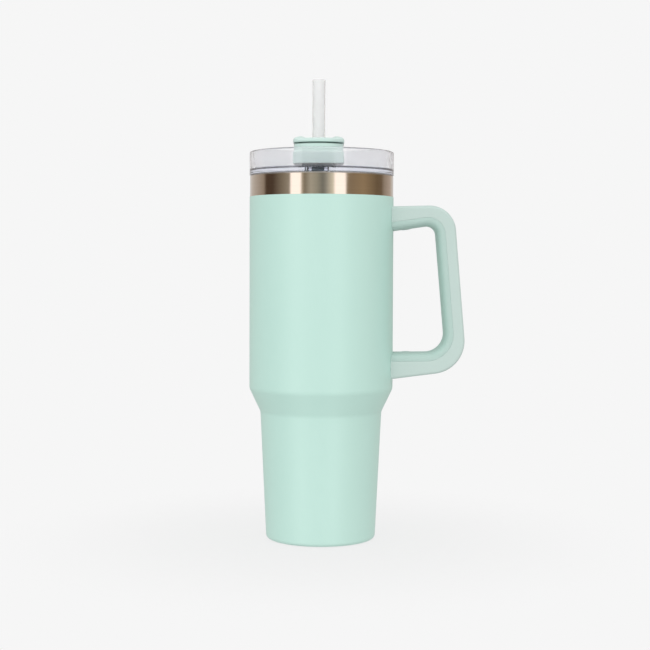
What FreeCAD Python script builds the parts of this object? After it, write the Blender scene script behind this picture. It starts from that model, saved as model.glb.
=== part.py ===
import FreeCAD, Part
import os
import Sketcher
from FreeCAD import Vector, Placement, Rotation

# Insulated travel mug: double-wall steel cup with a handle, a clear lid, a
# turning cover on the lid and a straw.
# Frame: +Z up, origin on the cup's axis at the face it stands on, handle on +X.
# All sizes in millimetres.

os.makedirs("parts", exist_ok=True)
doc = FreeCAD.newDocument("travel_mug")

# ---------------------------------------------------------------- sizes
SIZES = [
    # cup, outside of the coating
    ("coat_bottom", 0.35), ("foot_fillet", 5.7), ("cone_r_base", 38.06), ("cone_r_top", 42.27),
    ("shoulder_low", 89.3), ("shoulder_high", 105.5), ("shoulder_fillet", 8.0), ("body_r", 50.0),
    ("coat_top", 238.45), ("coat_thick", 0.55), ("coat_end_r", 32.4),
    # steel walls
    ("shell_thick", 0.7), ("wall_gap", 2.6), ("liner_thick", 0.6), ("rim_top", 253.2),
    ("liner_floor", 7.6), ("liner_fillet", 6.0), ("base_open_r", 31.6),
    ("foil_thick", 0.2), ("foil_low", 16.0), ("foil_high", 234.0),
    # base
    ("cover_disc_r", 31.0), ("cover_disc_thick", 0.85), ("dimple_r", 9.0), ("dimple_rise", 1.4),
    ("seal_hole_r", 1.6), ("getter_r", 7.0), ("getter_depth", 2.6),
    # handle
    ("handle_width", 27.0), ("handle_wall", 2.6), ("grip_edge", 5.0), ("frame_edge", 1.8),
    ("corner_out_top", 18.5), ("corner_out_low", 23.0), ("corner_mid_top", 12.0), ("corner_mid_low", 18.7),
    ("corner_in_top", 6.3), ("corner_in_low", 12.7),
    ("screw_x", 59.0), ("screw_head_r", 3.3), ("screw_head_len", 2.2), ("screw_shank_r", 1.75),
    ("screw_len", 6.6), ("counterbore_r", 3.6), ("plug_r", 3.55), ("plug_len", 1.5),
    ("tab_thick", 2.4), ("tab_reach", 66.0), ("tab_width", 14.0),
    ("upper_tab_z", 223.7), ("lower_tab_z", 122.1), ("upper_head_z", 218.2), ("lower_head_z", 129.2),
    # lid
    ("lid_seat", 253.25), ("lid_top", 269.5), ("lid_wall_in", 46.9), ("lid_wall_root", 46.3),
    ("lid_floor_top", 256.3), ("lid_floor_low", 253.5), ("skirt_r", 44.9), ("skirt_in_r", 42.0),
    ("skirt_low", 240.0), ("groove_low", 244.6), ("groove_high", 249.6), ("groove_r", 43.1),
    ("gasket_r", 45.45), ("drink_width", 14.0), ("drink_depth", 8.0), ("drink_reach", 33.0), ("vent_r", 1.2),
    # turning cover, about its own pivot
    ("pivot_x", -2.1), ("pivot_hole_r", 8.8), ("stem_r", 8.72), ("stem_low", 249.5),
    ("bar_r", 42.5), ("bar_half", 16.85), ("bar_low", 259.0), ("bar_top", 267.2),
    ("turret_r", 22.2), ("turret_top", 274.3), ("spigot_r", 13.0), ("spigot_low", 271.5),
    ("cap_r", 23.0), ("cap_half", 17.55), ("cap_low", 275.2), ("cap_top", 278.0),
    ("rib_top", 279.6), ("rib_in", 10.2), ("rib_out", 15.6), ("rib_half", 15.0),
    ("straw_bore_r", 5.2), ("grommet_r", 7.0), ("retainer_r", 12.2), ("retainer_groove_r", 7.9),
    ("retainer_low", 250.8), ("retainer_high", 253.4), ("seal_face", 256.34),
    # straw
    ("straw_r", 4.5), ("straw_in_r", 3.7), ("straw_low", 8.0), ("straw_top", 319.5), ("straw_cut", 5.0),
]
sheet = doc.addObject("Spreadsheet::Sheet", "Sizes")
for row, (alias, value) in enumerate(SIZES, start=1):
    sheet.set("A%d" % row, alias.replace("_", " "))
    sheet.set("B%d" % row, str(value))
    sheet.setAlias("B%d" % row, alias)
doc.recompute()


class Dim:
    """A size that knows its value now and its expression in the sheet."""

    def __init__(self, value, text):
        self.value = float(value)
        self.text = text

    @staticmethod
    def of(item):
        return item if isinstance(item, Dim) else Dim(item, repr(float(item)))

    def __add__(self, other):
        o = Dim.of(other)
        return Dim(self.value + o.value, "(%s + %s)" % (self.text, o.text))

    def __sub__(self, other):
        o = Dim.of(other)
        return Dim(self.value - o.value, "(%s - %s)" % (self.text, o.text))

    def __mul__(self, other):
        o = Dim.of(other)
        return Dim(self.value * o.value, "(%s * %s)" % (self.text, o.text))

    def __truediv__(self, other):
        o = Dim.of(other)
        return Dim(self.value / o.value, "(%s / %s)" % (self.text, o.text))


class Book:
    pass


S = Book()
for alias, value in SIZES:
    setattr(S, alias, Dim(value, "Sizes." + alias))


# ---------------------------------------------------------------- helpers
def new_body(label):
    body = doc.addObject("PartDesign::Body", label)
    body.Label = label
    return body


def plane(body, role):
    for item in body.Origin.OriginFeatures:
        if item.Role == role:
            return item
    raise RuntimeError(role)


def new_sketch(body, name, role, lift=None):
    sk = body.newObject("Sketcher::SketchObject", name)
    sk.AttachmentSupport = [(plane(body, role), "")]
    sk.MapMode = "FlatFace"
    if lift is not None:
        lift = Dim.of(lift)
        sk.AttachmentOffset = Placement(Vector(0, 0, lift.value), Rotation())
        sk.setExpression("AttachmentOffset.Base.z", lift.text)
    return sk


def pin_point(sk, geo, pos, xy):
    """Hold one sketch point at sizes taken from the sheet."""
    for kind, axis, item in (("DistanceX", -2, xy[0]), ("DistanceY", -1, xy[1])):
        d = Dim.of(item)
        if abs(d.value) < 1e-9:
            sk.addConstraint(Sketcher.Constraint("PointOnObject", geo, pos, axis))
        else:
            n = sk.addConstraint(Sketcher.Constraint(kind, -1, 1, geo, pos, d.value))
            sk.setExpression("Constraints[%d]" % n, d.text)


def add_polygon(sk, points):
    pts = [(Dim.of(a), Dim.of(b)) for a, b in points]
    first = sk.GeometryCount
    count = len(pts)
    for i in range(count):
        p, q = pts[i], pts[(i + 1) % count]
        sk.addGeometry(Part.LineSegment(Vector(p[0].value, p[1].value, 0), Vector(q[0].value, q[1].value, 0)), False)
    for i in range(count):
        sk.addConstraint(Sketcher.Constraint("Coincident", first + i, 2, first + (i + 1) % count, 1))
    for i in range(count):
        pin_point(sk, first + i, 1, pts[i])


def add_circle(sk, radius, centre=(0, 0)):
    r = Dim.of(radius)
    c = (Dim.of(centre[0]), Dim.of(centre[1]))
    g = sk.addGeometry(Part.Circle(Vector(c[0].value, c[1].value, 0), Vector(0, 0, 1), r.value), False)
    if abs(c[0].value) < 1e-9 and abs(c[1].value) < 1e-9:
        sk.addConstraint(Sketcher.Constraint("Coincident", g, 3, -1, 1))
    else:
        pin_point(sk, g, 3, c)
    n = sk.addConstraint(Sketcher.Constraint("Radius", g, r.value))
    sk.setExpression("Constraints[%d]" % n, r.text)


def rectangle(x0, y0, x1, y1):
    return [(x0, y0), (x1, y0), (x1, y1), (x0, y1)]


def revolve(body, name, points):
    sk = new_sketch(body, name + "_profile", "XZ_Plane")
    add_polygon(sk, points)
    doc.recompute()
    feature = body.newObject("PartDesign::Revolution", name)
    feature.Profile = sk
    feature.ReferenceAxis = (sk, ["V_Axis"])
    feature.Angle = 360
    doc.recompute()
    return feature


def groove(body, name, points):
    before = body.Shape.Volume
    sk = new_sketch(body, name + "_profile", "XZ_Plane")
    add_polygon(sk, points)
    doc.recompute()
    feature = body.newObject("PartDesign::Groove", name)
    feature.Profile = sk
    feature.ReferenceAxis = (sk, ["V_Axis"])
    feature.Angle = 360
    doc.recompute()
    if not body.Shape.Volume < before - 1e-6:
        raise RuntimeError(body.Label + " " + name + " cut nothing")
    return feature


def pad(body, sk, name, length, symmetric=False, reversed_=False):
    feature = body.newObject("PartDesign::Pad", name)
    feature.Profile = sk
    d = Dim.of(length)
    feature.Length = d.value
    feature.setExpression("Length", d.text)
    if symmetric:
        feature.SideType = "Symmetric"
    feature.Reversed = reversed_
    doc.recompute()
    return feature


def pocket(body, sk, name, length, symmetric=False, reversed_=False):
    before = body.Shape.Volume
    feature = body.newObject("PartDesign::Pocket", name)
    feature.Profile = sk
    d = Dim.of(length)
    feature.Length = d.value
    feature.setExpression("Length", d.text)
    if symmetric:
        feature.SideType = "Symmetric"
    feature.Reversed = reversed_
    doc.recompute()
    if not body.Shape.Volume < before - 1e-6:
        raise RuntimeError(body.Label + " " + name + " cut nothing")
    return feature


def fillet(body, name, radius, test):
    """Round every edge of the body's tip that passes the test."""
    tip = body.Tip
    names = []
    for i, edge in enumerate(tip.Shape.Edges, start=1):
        if test(edge):
            names.append("Edge%d" % i)
    if not names:
        raise RuntimeError(body.Label + " " + name + " found no edge")
    feature = body.newObject("PartDesign::Fillet", name)
    feature.Base = (tip, names)
    d = Dim.of(radius)
    feature.Radius = d.value
    feature.setExpression("Radius", d.text)
    doc.recompute()
    if "Invalid" in feature.State or feature.Shape.isNull():
        raise RuntimeError(body.Label + " " + name + " failed")
    return feature


def ring_edge(r, z, tol=0.06):
    """A full circle about the Z axis with this radius at this height."""
    r, z = Dim.of(r).value, Dim.of(z).value

    def test(edge):
        c = edge.Curve
        return (isinstance(c, Part.Circle) and abs(c.Radius - r) < tol and abs(c.Center.z - z) < tol
                and abs(c.Center.x) < 1e-6 and abs(c.Center.y) < 1e-6)
    return test


def any_of(*tests):
    return lambda edge: any(t(edge) for t in tests)


def cross_edge(x, z, tol=0.2):
    """A straight edge along Y at this X and Z."""
    def test(edge):
        if not isinstance(edge.Curve, Part.Line):
            return False
        a, b = edge.Vertexes[0].Point, edge.Vertexes[-1].Point
        return abs(a.x - b.x) < 1e-3 and abs(a.z - b.z) < 1e-3 and abs(a.x - x) < tol and abs(a.z - z) < tol
    return test


ct, st, gap, lt = S.coat_thick, S.shell_thick, S.wall_gap, S.liner_thick
slope = (S.cone_r_top - S.cone_r_base) / (S.shoulder_low - S.coat_bottom)


def cone_r(z):
    """Radius of the lower, tapered part of the coating at a height."""
    return S.cone_r_base + slope * (Dim.of(z) - S.coat_bottom)


# ---------------------------------------------------------------- cup walls
# outer shell: spun steel wall with the base corner turned in
shell_low = S.coat_bottom + ct
shell_top = S.rim_top - st - 0.02
b = new_body("outer_shell")
revolve(b, "wall", [
    (S.base_open_r, shell_low), (S.cone_r_base - ct, shell_low), (S.cone_r_top - ct, S.shoulder_low),
    (S.body_r - ct, S.shoulder_high), (S.body_r - ct, shell_top), (S.body_r - ct - st, shell_top),
    (S.body_r - ct - st, S.shoulder_high), (S.cone_r_top - ct - st, S.shoulder_low),
    (S.cone_r_base - ct - st, shell_low + st), (S.base_open_r, shell_low + st)])
fillet(b, "foot_round", S.foot_fillet - ct, ring_edge(S.cone_r_base - ct, shell_low))
fillet(b, "foot_round_in", S.foot_fillet - ct - st, ring_edge(S.cone_r_base - ct - st, shell_low + st))
fillet(b, "shoulder_round", S.shoulder_fillet, any_of(
    ring_edge(S.cone_r_top - ct, S.shoulder_low), ring_edge(S.body_r - ct, S.shoulder_high),
    ring_edge(S.cone_r_top - ct - st, S.shoulder_low), ring_edge(S.body_r - ct - st, S.shoulder_high)))

# powder coating: the coloured skin from the foot to just below the rim
b = new_body("powder_coat")
revolve(b, "skin", [
    (S.coat_end_r, S.coat_bottom), (S.cone_r_base, S.coat_bottom), (S.cone_r_top, S.shoulder_low),
    (S.body_r, S.shoulder_high), (S.body_r, S.coat_top), (S.body_r - ct, S.coat_top),
    (S.body_r - ct, S.shoulder_high), (S.cone_r_top - ct, S.shoulder_low),
    (S.cone_r_base - ct, shell_low), (S.coat_end_r, shell_low)])
fillet(b, "foot_round", S.foot_fillet, ring_edge(S.cone_r_base, S.coat_bottom))
fillet(b, "foot_round_in", S.foot_fillet - ct, ring_edge(S.cone_r_base - ct, shell_low))
fillet(b, "shoulder_round", S.shoulder_fillet, any_of(
    ring_edge(S.cone_r_top, S.shoulder_low), ring_edge(S.body_r, S.shoulder_high),
    ring_edge(S.cone_r_top - ct, S.shoulder_low), ring_edge(S.body_r - ct, S.shoulder_high)))
fillet(b, "top_edge", 0.25, ring_edge(S.body_r, S.coat_top))
# bare patches where the handle brackets are welded to the steel
half_tab = S.tab_width / 2
sk = new_sketch(b, "bracket_windows", "YZ_Plane")
add_polygon(sk, rectangle((half_tab * -1) - 0.05, S.upper_tab_z - 0.05, half_tab + 0.05, S.upper_tab_z + 5.65))
add_polygon(sk, rectangle((half_tab * -1) - 0.05, S.lower_tab_z - 5.15, half_tab + 0.05, S.lower_tab_z + S.tab_thick + 0.05))
doc.recompute()
pocket(b, sk, "bracket_patches", 60, reversed_=True)

# inner liner: the cup itself, with the lip that closes the double wall
wall = ct + st + gap + lt
b = new_body("inner_liner")
liner_low = S.liner_floor - lt
revolve(b, "cup", [
    (0, S.liner_floor), (S.cone_r_base - wall, S.liner_floor), (S.cone_r_top - wall, S.shoulder_low),
    (S.body_r - wall, S.shoulder_high), (S.body_r - wall, S.rim_top), (S.body_r - ct, S.rim_top),
    (S.body_r - ct, S.rim_top - st), (S.body_r - wall + lt, S.rim_top - st),
    (S.body_r - wall + lt, S.shoulder_high), (S.cone_r_top - wall + lt, S.shoulder_low),
    (S.cone_r_base - wall + lt, liner_low), (0, liner_low)])
fillet(b, "floor_round", S.liner_fillet, ring_edge(S.cone_r_base - wall, S.liner_floor))
fillet(b, "floor_round_out", S.liner_fillet + lt, ring_edge(S.cone_r_base - wall + lt, liner_low))
fillet(b, "shoulder_round", S.shoulder_fillet, any_of(
    ring_edge(S.cone_r_top - wall, S.shoulder_low), ring_edge(S.body_r - wall, S.shoulder_high),
    ring_edge(S.cone_r_top - wall + lt, S.shoulder_low), ring_edge(S.body_r - wall + lt, S.shoulder_high)))
fillet(b, "lip_edges", 0.3, any_of(ring_edge(S.body_r - ct, S.rim_top), ring_edge(S.body_r - wall, S.rim_top)))

# copper foil: bright wrap on the liner inside the vacuum gap
b = new_body("copper_wrap")
off = ct + st + gap - 0.03
revolve(b, "foil", [
    (cone_r(S.foil_low) - off, S.foil_low), (cone_r(S.foil_low) - off + S.foil_thick, S.foil_low),
    (S.cone_r_top - off + S.foil_thick, S.shoulder_low), (S.body_r - off + S.foil_thick, S.shoulder_high),
    (S.body_r - off + S.foil_thick, S.foil_high), (S.body_r - off, S.foil_high),
    (S.body_r - off, S.shoulder_high), (S.cone_r_top - off, S.shoulder_low)])
fillet(b, "shoulder_round", S.shoulder_fillet, any_of(
    ring_edge(S.cone_r_top - off, S.shoulder_low), ring_edge(S.body_r - off, S.shoulder_high),
    ring_edge(S.cone_r_top - off + S.foil_thick, S.shoulder_low),
    ring_edge(S.body_r - off + S.foil_thick, S.shoulder_high)))

# ---------------------------------------------------------------- base
# outer base: welded disc with the dimple that holds the vacuum seal
b = new_body("outer_base")
low = shell_low + 0.02
revolve(b, "disc", [
    (S.seal_hole_r, low + S.dimple_rise), (S.dimple_r, low + S.dimple_rise), (S.dimple_r + 2, low),
    (S.base_open_r - 0.03, low), (S.base_open_r - 0.03, low + st), (S.dimple_r + 2.4, low + st),
    (S.dimple_r + 0.4, low + st + S.dimple_rise), (S.seal_hole_r, low + st + S.dimple_rise)])

# sealing bead: glass drop that closes the evacuation hole
b = new_body("seal_bead")
top_of_hole = low + st + S.dimple_rise
revolve(b, "drop", [
    (0, low + S.dimple_rise - 0.8), (1.8, low + S.dimple_rise - 0.8), (S.seal_hole_r + 1.1, low + S.dimple_rise - 0.02),
    (S.seal_hole_r - 0.02, low + S.dimple_rise - 0.02), (S.seal_hole_r - 0.02, top_of_hole), (0, top_of_hole)])

# getter: pressed capsule on the liner's underside that keeps the vacuum
b = new_body("getter")
revolve(b, "capsule", [
    (0, liner_low - S.getter_depth), (S.getter_r - 1, liner_low - S.getter_depth),
    (S.getter_r, liner_low - S.getter_depth + 1), (S.getter_r, liner_low - 0.02), (0, liner_low - 0.02)])

# base cover: flat disc over the seal, the face the mug stands on
b = new_body("base_cover")
revolve(b, "disc", rectangle(0, 0, S.cover_disc_r, S.cover_disc_thick))
fillet(b, "edge_round", 0.35, ring_edge(S.cover_disc_r, 0))

# ---------------------------------------------------------------- handle
# Side outlines in the XZ plane. The loop is a channel that opens inwards
# (the frame) and a rounded insert that closes it (the grip).
OUT = [(48.0, 232.2), (91.5, 233.3), (101.2, 119.15), (48.0, 112.2)]
MID = [(48.0, 220.76), (84.12, 226.05), (92.95, 125.48), (48.0, 124.94)]
INN = [(48.0, 214.70), (78.70, 219.20), (86.40, 131.40), (48.0, 130.94)]
VOID = [(48.0, 229.6), (89.1, 230.64), (98.4, 121.4), (48.0, 114.82)]


def seat_on_cup(body, radius):
    groove(body, "seat", rectangle(0, 100, radius, 245))


b = new_body("handle_frame")
sk = new_sketch(b, "loop_outline", "XZ_Plane")
add_polygon(sk, OUT + MID[::-1])
doc.recompute()
pad(b, sk, "loop", S.handle_width, symmetric=True)
sk = new_sketch(b, "channel_outline", "XZ_Plane")
add_polygon(sk, VOID)
doc.recompute()
pocket(b, sk, "channel", S.handle_width - S.handle_wall * 2, symmetric=True)
fillet(b, "channel_corner_high", S.corner_out_top - S.handle_wall, cross_edge(*VOID[1]))
fillet(b, "channel_corner_base", S.corner_out_low - S.handle_wall, cross_edge(*VOID[2]))
fillet(b, "corner_out_high", S.corner_out_top, cross_edge(*OUT[1]))
fillet(b, "corner_out_base", S.corner_out_low, cross_edge(*OUT[2]))
fillet(b, "corner_mid_high", S.corner_mid_top, cross_edge(*MID[1]))
fillet(b, "corner_mid_base", S.corner_mid_low, cross_edge(*MID[2]))
seat_on_cup(b, S.body_r + 0.04)


def outer_rim(edge):
    """Long outline edges on the two sides of the loop, on its outer face."""
    mid = edge.valueAt((edge.FirstParameter + edge.LastParameter) / 2)
    if abs(abs(mid.y) - 13.5) > 1e-3:
        return False
    if edge.Length < 8:
        return False
    ends = [v.Point for v in edge.Vertexes]
    if any(abs(abs(p.y) - 13.5) > 1e-3 for p in ends):
        return False
    # outside the middle outline
    return mid.z > 231.5 or mid.z < 119.5 or mid.x > 92.6 + (233.3 - mid.z) * 0.06 - 2 or (mid.x > 82 and (mid.z > 227 or mid.z < 122))


fillet(b, "outer_edges", S.frame_edge, outer_rim)

b = new_body("handle_grip")
sk = new_sketch(b, "grip_outline", "XZ_Plane")
add_polygon(sk, MID + INN[::-1])
doc.recompute()
pad(b, sk, "insert", S.handle_width, symmetric=True)
fillet(b, "corner_mid_high", S.corner_mid_top, cross_edge(*MID[1]))
fillet(b, "corner_mid_base", S.corner_mid_low, cross_edge(*MID[2]))
fillet(b, "corner_in_high", S.corner_in_top, cross_edge(*INN[1]))
fillet(b, "corner_in_base", S.corner_in_low, cross_edge(*INN[2]))


def inner_rim(edge):
    mid = edge.valueAt((edge.FirstParameter + edge.LastParameter) / 2)
    ends = [v.Point for v in edge.Vertexes]
    if any(abs(abs(p.y) - 13.5) > 1e-3 for p in ends) or abs(abs(mid.y) - 13.5) > 1e-3:
        return False
    if abs(ends[0].x - 48) < 1e-3 and abs(ends[-1].x - 48) < 1e-3:
        return False
    top = 214.70 + (mid.x - 48) * (4.5 / 30.7)
    side = 78.70 + (219.20 - mid.z) * (7.7 / 87.8)
    if mid.x > 84.0 and mid.z < 133.5:
        return False
    return (mid.x < side + 1.5 and mid.z < top + 1.5 and mid.z > 129.5)


fillet(b, "inner_edges", S.grip_edge, inner_rim)
# screw holes: counterbores open to the finger gap, clearance holes beyond
sk = new_sketch(b, "upper_bore_outline", "XY_Plane", S.upper_head_z + S.screw_head_len)
add_circle(sk, S.counterbore_r, (S.screw_x, 0))
doc.recompute()
pocket(b, sk, "upper_bore", 8)
sk = new_sketch(b, "upper_hole_outline", "XY_Plane", S.upper_head_z)
add_circle(sk, S.screw_shank_r + 0.2, (S.screw_x, 0))
doc.recompute()
pocket(b, sk, "upper_hole", 10, reversed_=True)
sk = new_sketch(b, "lower_bore_outline", "XY_Plane", S.lower_head_z - S.screw_head_len)
add_circle(sk, S.counterbore_r, (S.screw_x, 0))
doc.recompute()
pocket(b, sk, "lower_bore", 8, reversed_=True)
sk = new_sketch(b, "lower_hole_outline", "XY_Plane", S.lower_head_z)
add_circle(sk, S.screw_shank_r + 0.2, (S.screw_x, 0))
doc.recompute()
pocket(b, sk, "lower_hole", 10)
seat_on_cup(b, S.body_r + 0.04)

# brackets: bent steel tabs welded to the shell inside the handle's arms
for label, tab_z, foot_low, foot_high in (
        ("upper_bracket", S.upper_tab_z, S.upper_tab_z, S.upper_tab_z + 5.6),
        ("lower_bracket", S.lower_tab_z, S.lower_tab_z - 5.1, S.lower_tab_z + S.tab_thick)):
    b = new_body(label)
    sk = new_sketch(b, "tab_outline", "XZ_Plane")
    if label == "upper_bracket":
        add_polygon(sk, [(46, foot_low), (S.tab_reach, foot_low), (S.tab_reach, foot_low + S.tab_thick),
                         (52.4, foot_low + S.tab_thick), (52.4, foot_high), (46, foot_high)])
    else:
        add_polygon(sk, [(46, foot_low), (52.4, foot_low), (52.4, foot_high - S.tab_thick),
                         (S.tab_reach, foot_high - S.tab_thick), (S.tab_reach, foot_high), (46, foot_high)])
    doc.recompute()
    pad(b, sk, "tab", S.tab_width, symmetric=True)
    sk = new_sketch(b, "screw_hole_outline", "XY_Plane", tab_z - 1)
    add_circle(sk, S.screw_shank_r + 0.05, (S.screw_x, 0))
    doc.recompute()
    pocket(b, sk, "screw_hole", 8, reversed_=True)
    groove(b, "shell_seat", rectangle(0, 100, S.body_r - ct + 0.02, 245))
    corner = S.tab_reach.value
    fillet(b, "tab_corners", 3.0, lambda e: isinstance(e.Curve, Part.Line) and abs(e.Vertexes[0].Point.x - corner) < 1e-3
           and abs(e.Vertexes[-1].Point.x - corner) < 1e-3 and abs(e.Vertexes[0].Point.y - e.Vertexes[-1].Point.y) < 1e-3)


def bound(obj, **sizes):
    for prop, item in sizes.items():
        d = Dim.of(item)
        name = prop.replace("__", ".")
        if "." not in name:
            setattr(obj, name, d.value)
        obj.setExpression(name, d.text)
    return obj


# screws and their colour-matched plugs, one of each per arm
screw_parts, plug_parts = [], []
for arm, head_z, up in (("upper", S.upper_head_z, True), ("lower", S.lower_head_z, False)):
    head = doc.addObject("Part::Cylinder", arm + "_screw_head")
    shank = doc.addObject("Part::Cylinder", arm + "_screw_shank")
    drive = doc.addObject("Part::Prism", arm + "_screw_drive")
    plug = doc.addObject("Part::Cylinder", arm + "_plug")
    bound(head, Radius=S.screw_head_r, Height=S.screw_head_len - 0.03)
    bound(shank, Radius=S.screw_shank_r, Height=S.screw_len)
    drive.Polygon = 6
    bound(drive, Circumradius=1.25, Height=1.2)
    bound(plug, Radius=S.plug_r, Height=S.plug_len)
    if up:
        zs = {head: head_z, shank: head_z + S.screw_head_len - 0.1, drive: head_z - 0.001, plug: head_z - S.plug_len - 0.05}
    else:
        zs = {head: head_z - S.screw_head_len + 0.03, shank: head_z - S.screw_head_len - S.screw_len + 0.1,
              drive: head_z - 1.199, plug: head_z + 0.05}
    for obj, z in zs.items():
        obj.Placement = Placement(Vector(S.screw_x.value, 0, z.value), Rotation())
        bound(obj, Placement__Base__x=S.screw_x, Placement__Base__z=z)
    joined = doc.addObject("Part::Fuse", arm + "_screw_blank")
    joined.Base, joined.Tool = head, shank
    screw = doc.addObject("Part::Cut", arm + "_screw")
    screw.Base, screw.Tool = joined, drive
    screw_parts.append(screw)
    plug_parts.append(plug)
doc.recompute()
screws = doc.addObject("Part::Compound", "handle_screws")
screws.Links = screw_parts
plugs = doc.addObject("Part::Compound", "screw_plugs")
plugs.Links = plug_parts
doc.recompute()

# ---------------------------------------------------------------- lid
# clear lid: tray with an upright wall, a floor and the plug that enters the cup
b = new_body("lid_body")
revolve(b, "tray", [
    (0, S.lid_floor_low), (S.skirt_in_r, S.lid_floor_low), (S.skirt_in_r, S.skirt_low), (S.skirt_r, S.skirt_low),
    (S.skirt_r, S.groove_low), (S.groove_r, S.groove_low), (S.groove_r, S.groove_high), (S.skirt_r, S.groove_high),
    (S.skirt_r, S.lid_seat), (S.body_r, S.lid_seat), (S.body_r, S.lid_top), (S.lid_wall_in, S.lid_top),
    (S.lid_wall_root, S.lid_floor_top), (0, S.lid_floor_top)])
fillet(b, "rim_round", 0.9, any_of(ring_edge(S.body_r, S.lid_top), ring_edge(S.lid_wall_in, S.lid_top)))
fillet(b, "recess_root", 1.5, ring_edge(S.lid_wall_root, S.lid_floor_top))
fillet(b, "seat_edge", 0.4, ring_edge(S.body_r, S.lid_seat))
fillet(b, "skirt_lead", 0.8, any_of(ring_edge(S.skirt_r, S.skirt_low), ring_edge(S.skirt_in_r, S.skirt_low)))
sk = new_sketch(b, "floor_holes", "XY_Plane", S.lid_floor_top + 1)
add_circle(sk, S.pivot_hole_r, (S.pivot_x, 0))
add_circle(sk, S.vent_r, (S.pivot_x, S.drink_reach))
add_polygon(sk, rectangle(S.pivot_x - S.drink_width / 2, (S.drink_reach * -1) - S.drink_depth / 2,
                          S.pivot_x + S.drink_width / 2, (S.drink_reach * -1) + S.drink_depth / 2))
doc.recompute()
pocket(b, sk, "floor_openings", 6)


def upright_edge(cx, cy, dx, dy, tol=0.05):
    def test(e):
        if not isinstance(e.Curve, Part.Line):
            return False
        a, c = e.Vertexes[0].Point, e.Vertexes[-1].Point
        return (abs(a.x - c.x) < 1e-4 and abs(a.y - c.y) < 1e-4 and abs(abs(a.x - cx) - dx) < tol
                and abs(abs(a.y - cy) - dy) < tol)
    return test


fillet(b, "drink_corners", 3.6, upright_edge(S.pivot_x.value, -S.drink_reach.value, S.drink_width.value / 2, S.drink_depth.value / 2))

# lid gasket: silicone ring in the plug's groove with two sealing lips
b = new_body("lid_gasket")
lips = S.gasket_r - 0.9
revolve(b, "ring", [
    (S.groove_r + 0.02, S.groove_low + 0.05), (S.gasket_r, S.groove_low + 0.05), (S.gasket_r, S.groove_low + 1.0),
    (lips, S.groove_low + 1.9), (lips, S.groove_low + 2.9), (S.gasket_r, S.groove_low + 3.6),
    (S.gasket_r, S.groove_high - 0.05), (S.groove_r + 0.02, S.groove_high - 0.05)])

# ---------------------------------------------------------------- turning cover
def on_pivot(obj):
    obj.Placement = Placement(Vector(S.pivot_x.value, 0, 0), Rotation())
    obj.setExpression("Placement.Base.x", S.pivot_x.text)


# cover body: bar across the lid, turret in its middle and hollow pivot below
b = new_body("cover_body")
sk = new_sketch(b, "bar_outline", "XY_Plane", S.bar_low)
add_circle(sk, S.bar_r)
doc.recompute()
pad(b, sk, "bar", S.bar_top - S.bar_low)
sk = new_sketch(b, "turret_outline", "XY_Plane", S.bar_top)
add_circle(sk, S.turret_r)
doc.recompute()
pad(b, sk, "turret", S.turret_top - S.bar_top)
sk = new_sketch(b, "flat_sides", "XY_Plane", S.turret_top + 1)
add_polygon(sk, rectangle(S.bar_half, -50, 50, 50))
add_polygon(sk, rectangle(-50, -50, S.bar_half * -1, 50))
doc.recompute()
pocket(b, sk, "flats", 20)
sk = new_sketch(b, "neck_outline", "XY_Plane", S.turret_top)
add_circle(sk, 15.4)
doc.recompute()
pad(b, sk, "neck", S.cap_low - S.turret_top - 0.02)
end_y = (S.bar_r.value ** 2 - S.bar_half.value ** 2) ** 0.5
fillet(b, "bar_corners", 3.5, upright_edge(0, 0, S.bar_half.value, end_y))
bar_top, bar_low = S.bar_top.value, S.bar_low.value
fillet(b, "bar_top_edge", 1.4, lambda e: abs(e.BoundBox.ZMin - bar_top) < 1e-3 and abs(e.BoundBox.ZMax - bar_top) < 1e-3
       and (e.BoundBox.YMin > 25 or e.BoundBox.YMax < -25))
sk = new_sketch(b, "stem_outline", "XY_Plane", S.stem_low)
add_circle(sk, S.stem_r)
doc.recompute()
pad(b, sk, "stem", S.bar_low - S.stem_low)
groove(b, "retainer_groove", rectangle(S.retainer_groove_r, S.retainer_low, 12, S.retainer_high))
groove(b, "seal_groove", rectangle(9.5, S.bar_low - 0.5, 11.9, S.bar_low + 0.7))
sk = new_sketch(b, "drink_seal_seat", "XY_Plane", S.bar_low - 0.5)
add_polygon(sk, rectangle(-9.1, (S.drink_reach * -1) - 6.1, 9.1, (S.drink_reach * -1) + 6.1))
doc.recompute()
pocket(b, sk, "seal_pocket", 1.4, reversed_=True)
sk = new_sketch(b, "bore_outline", "XY_Plane", S.stem_low - 1)
add_circle(sk, S.straw_bore_r)
doc.recompute()
pocket(b, sk, "straw_bore", 40, reversed_=True)
sk = new_sketch(b, "spigot_seat_outline", "XY_Plane", S.cap_low + 1)
add_circle(sk, S.spigot_r + 0.03)
doc.recompute()
pocket(b, sk, "spigot_seat", S.cap_low + 1 - S.spigot_low + 0.1)
on_pivot(b)

# cover cap: snapped-on top with two finger ribs beside the straw
b = new_body("cover_cap")
sk = new_sketch(b, "cap_outline", "XY_Plane", S.cap_low)
add_circle(sk, S.cap_r)
doc.recompute()
pad(b, sk, "cap", S.cap_top - S.cap_low)
sk = new_sketch(b, "cap_flats", "XY_Plane", S.cap_top + 1)
add_polygon(sk, rectangle(S.cap_half, -30, 30, 30))
add_polygon(sk, rectangle(-30, -30, S.cap_half * -1, 30))
doc.recompute()
pocket(b, sk, "flats", 6)
cap_end = (S.cap_r.value ** 2 - S.cap_half.value ** 2) ** 0.5
fillet(b, "cap_corners", 3.0, upright_edge(0, 0, S.cap_half.value, cap_end))
cap_top, cap_low = S.cap_top.value, S.cap_low.value
fillet(b, "cap_top_edge", 1.2, lambda e: abs(e.BoundBox.ZMin - cap_top) < 1e-3 and abs(e.BoundBox.ZMax - cap_top) < 1e-3)
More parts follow.
